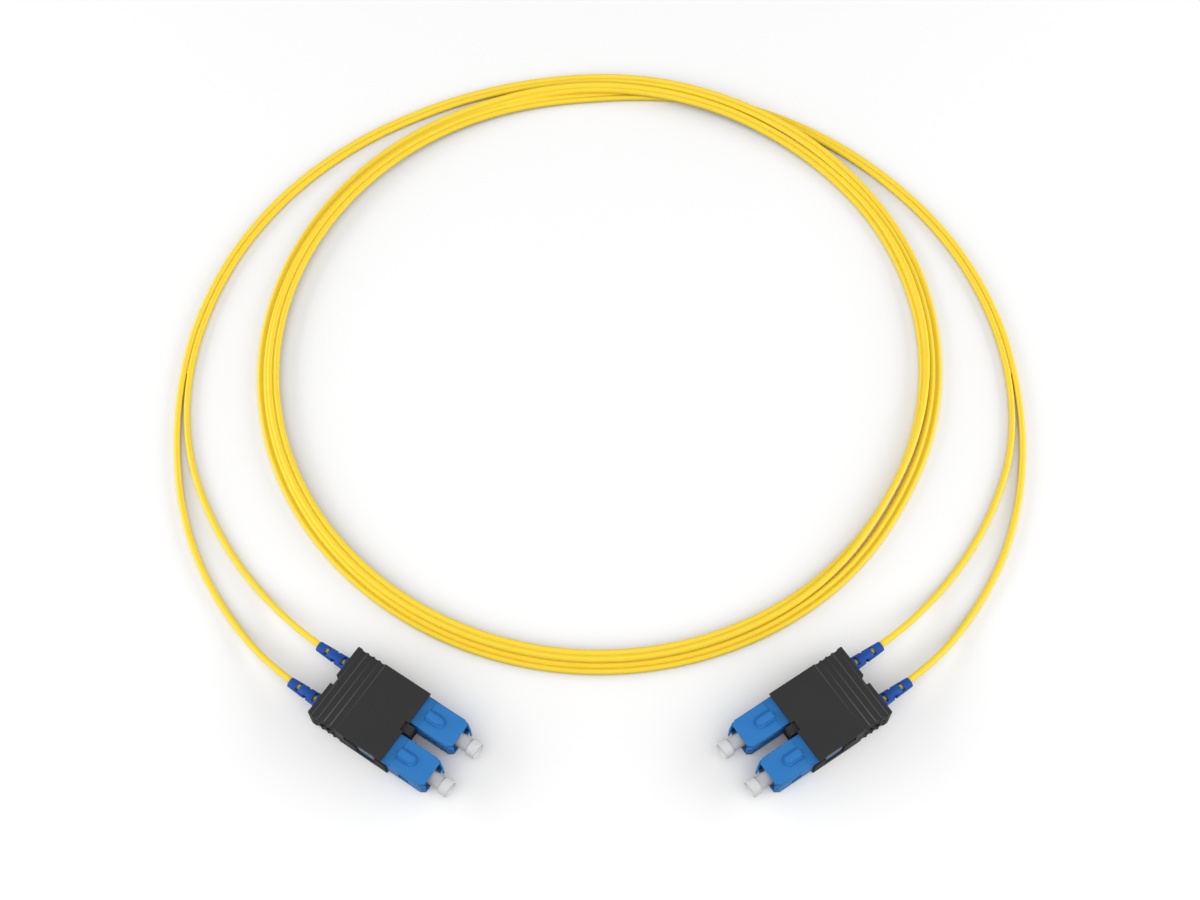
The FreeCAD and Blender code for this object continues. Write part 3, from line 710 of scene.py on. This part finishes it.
# Clip shells
# Two black shells snap together round both plugs of a pair and hold them side by side.
# Finger ridges cross the back on all four sides, and the sides are open in front so the sleeves can slide.
CLIP_REAR, CLIP_HALF_W, CLIP_TOP = -24.6, 11.35, 9.4
CLIP_WALL, CLIP_ROUND, CLIP_EDGE = 1.0, 0.3, 0.07
# The cuts run out to these places beyond the clip
PAST_REAR, PAST_FRONT, PAST_SIDE, PAST_TOP, PAST_LOW = -26, 3, 12, 11, -1
FLUTES, FLUTE_START, FLUTE_PITCH, FLUTE_FACETS, FLUTE_LONG = 4, 1.35, 2.03, 128, 30
FLAT_DEPTH, SIDE_DEPTH = 0.15, 0.35
REAR_NOTCH, REAR_NOTCH_HALF = 1.0, 1.3
POCKET_REAR, POCKET_HALF, POCKET_TOP = -13.05, 4.5, 8.4
# Middle, radius and length of the room for a boot's shoulder, and of the hole that its tail comes out of
BOOT_ROOM, BOOT_HOLE = (-17.2, 2.85, 10.4), (-23.5, 2.325, 4)
BOOT_ROOM_FACETS = 64
SIDE_OPEN_REAR, SIDE_OPEN_LAP, SILL, PARTING = -12.7, 0.1, 5.8, 4.7
RAIL_REACH = 1.0
RIB_HALF, RIB_AHEAD_HALF = 1.6, 3
WINDOW_REAR, WINDOW_FRONT, WINDOW_LOW, WINDOW_HIGH, WINDOW_IN = -9.0, -2.64, 1.8, 7, 6.35
POST_REAR, POST_FRONT, POST_HALF, POST_LOW, POST_HIGH = -1.0, 2.0, 1.3, 5.5, 8.7
POST_NOTCH_HALF = 1.4
RIDGE_HALF, RIDGE_LOW, RIDGE_FLAT = 0.00008, 0.0093, 0.9
# The clip's black, and the lighter grey painted on the ridge tops as a painted highlight
CLIP_BLACK, RIDGE_HIGHLIGHT = (0.035, 0.035, 0.036), (0.105, 0.105, 0.105)
ALONG_X = (0, math.pi / 2, 0)
ALONG_Y = (math.pi / 2, 0, 0)
UPRIGHT = (0, 0, 0)


def shell(name, front):
    """The outside of the closed clip, with its ridges, its hollow for the plugs and the holes for the boots."""
    body = block(name, (CLIP_REAR, -CLIP_HALF_W, 0), (front, CLIP_HALF_W, CLIP_TOP))
    round_long_edges(body, CLIP_ROUND)
    for index in range(FLUTES):
        x = CLIP_REAR + FLUTE_START + FLUTE_PITCH * (index + 0.5)
        for depth, half, turn in ((FLAT_DEPTH, CLIP_TOP / 2, ALONG_Y), (SIDE_DEPTH, CLIP_HALF_W, UPRIGHT)):
            radius = (FLUTE_PITCH ** 2 / 4 + depth ** 2) / (2 * depth)
            out = half + radius - depth
            for side in (1, -1):
                spot = (x, side * out, CLIP_TOP / 2) if turn == UPRIGHT else (x, 0, CLIP_TOP / 2 + side * out)
                cut(body, rod("flute", spot, radius, FLUTE_LONG, turn, FLUTE_FACETS))
    cut(body, block("rear_notch", (PAST_REAR, -REAR_NOTCH_HALF, PAST_LOW),
                    (CLIP_REAR + REAR_NOTCH, REAR_NOTCH_HALF, PAST_TOP)))
    for y in (-PLUG_PITCH * 500, PLUG_PITCH * 500):
        cut(body, block("pocket", (POCKET_REAR, y - POCKET_HALF, CLIP_WALL),
                        (PAST_FRONT, y + POCKET_HALF, POCKET_TOP)))
        for middle, radius, length in (BOOT_ROOM, BOOT_HOLE):
            cut(body, rod("boot_room", (middle, y, PARTING), radius, length, ALONG_X, BOOT_ROOM_FACETS))
    return body


lower = shell("clip_lower", RAIL_REACH)
cut(lower, block("above_rear", (PAST_REAR, -PAST_SIDE, PARTING), (SIDE_OPEN_REAR, PAST_SIDE, PAST_TOP)),
    block("above_ribs", (SIDE_OPEN_REAR - SIDE_OPEN_LAP, -PAST_SIDE, POCKET_TOP),
          (PAST_FRONT, PAST_SIDE, PAST_TOP)),
    block("ahead_of_rib", (0, -RIB_AHEAD_HALF, SILL), (PAST_FRONT, RIB_AHEAD_HALF, PAST_TOP)))
for side in (1, -1):
    rib, out = sorted((side * RIB_HALF, side * PAST_SIDE))
    cut(lower, block("above_rail", (SIDE_OPEN_REAR, rib, SILL), (PAST_FRONT, out, PAST_TOP)))
    wall, out = sorted((side * WINDOW_IN, side * PAST_SIDE))
    cut(lower, block("side_window", (WINDOW_REAR, wall, WINDOW_LOW), (WINDOW_FRONT, out, WINDOW_HIGH)))
join(lower, block("post", (POST_REAR, -POST_HALF, POST_LOW), (POST_FRONT, POST_HALF, POST_HIGH)))
soften(lower, CLIP_EDGE)
upper = shell("clip_upper", 0)
cut(upper, block("below", (PAST_REAR, -PAST_SIDE, PAST_LOW), (PAST_FRONT, PAST_SIDE, PARTING)),
    block("skirt", (SIDE_OPEN_REAR, -PAST_SIDE, 0), (PAST_FRONT, PAST_SIDE, POCKET_TOP)),
    block("front_notch", (POST_REAR, -POST_NOTCH_HALF, 0), (PAST_FRONT, POST_NOTCH_HALF, PAST_TOP)))
soften(upper, CLIP_EDGE)
ridges = metres(CLIP_REAR + FLUTE_START + FLUTE_PITCH * index for index in range(FLUTES + 1))
# Marks the flat tops of the finger ridges, which are painted a lighter grey as a painted highlight where the
# rounded tops catch the light
for piece in (lower, upper):
    highlight_mask = piece.data.attributes.new("highlight_mask", "FLOAT", "FACE")
    for face, mark in zip(piece.data.polygons, highlight_mask.data):
        near = min(abs(face.center.x - ridge) for ridge in ridges)
        on_top = face.center.z > RIDGE_LOW and face.normal.z > RIDGE_FLAT
        mark.value = 1.0 if near < RIDGE_HALF and on_top else 0.0
black = grained("clip_black", roughness=0.5, grain=0.00022, grain_depth=0.000006, gloss=0.03)
# The black turns to a lighter grey on the marked ridge tops: a painted highlight
painted_highlight = black.node("ShaderNodeAttribute", {"attribute_name": "highlight_mask"}, output="Fac")
black.set(Base_Color=black.blend(painted_highlight, CLIP_BLACK, RIDGE_HIGHLIGHT))
for end, mirror in (("left", 1), ("right", -1)):
    put(lower, black, mirror, 0, 0, end + "_clip_lower", end + "_grip")
    put(upper, black, mirror, 0, 0, end + "_clip_upper", end + "_grip")
bpy.data.objects.remove(lower)
bpy.data.objects.remove(upper)
